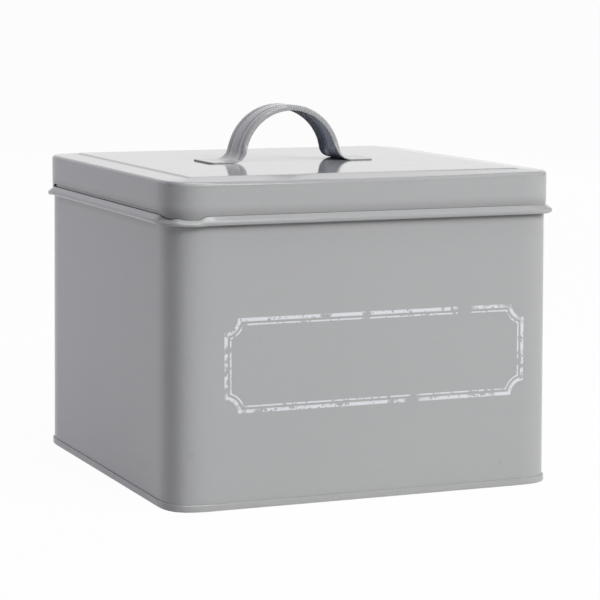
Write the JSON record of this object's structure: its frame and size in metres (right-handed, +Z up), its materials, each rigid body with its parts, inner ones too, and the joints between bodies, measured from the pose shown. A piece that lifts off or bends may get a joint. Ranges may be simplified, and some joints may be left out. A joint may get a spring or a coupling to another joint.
{
  "type": "lidded storage tin for dishwasher tablets",
  "caption": "Square painted sheet-steel storage tin with rounded corners, a bead under a lift-off lid with a raised panel, and a pressed strap handle.",
  "frame": {"origin": "on the floor, at the middle of the tin", "axes": "+X along the front to the viewer's right, +Y from the front to the back, +Z up"},
  "size_m": [0.1966, 0.1966, 0.1762],
  "materials": {
    "grey_paint": "smooth satin-gloss grey paint on tinplate"
  },
  "bodies": {
    "tin": {"tin_body": "grey_paint", "base_panel": "grey_paint"},
    "lid": {"lid": "grey_paint", "handle": "grey_paint"}
  },
  "joints": [
    {"name": "lid_lift", "type": "slide", "parent": "tin", "child": "lid", "axis": [0, 0, 1], "range_m": [0, 0.06]}
  ]
}
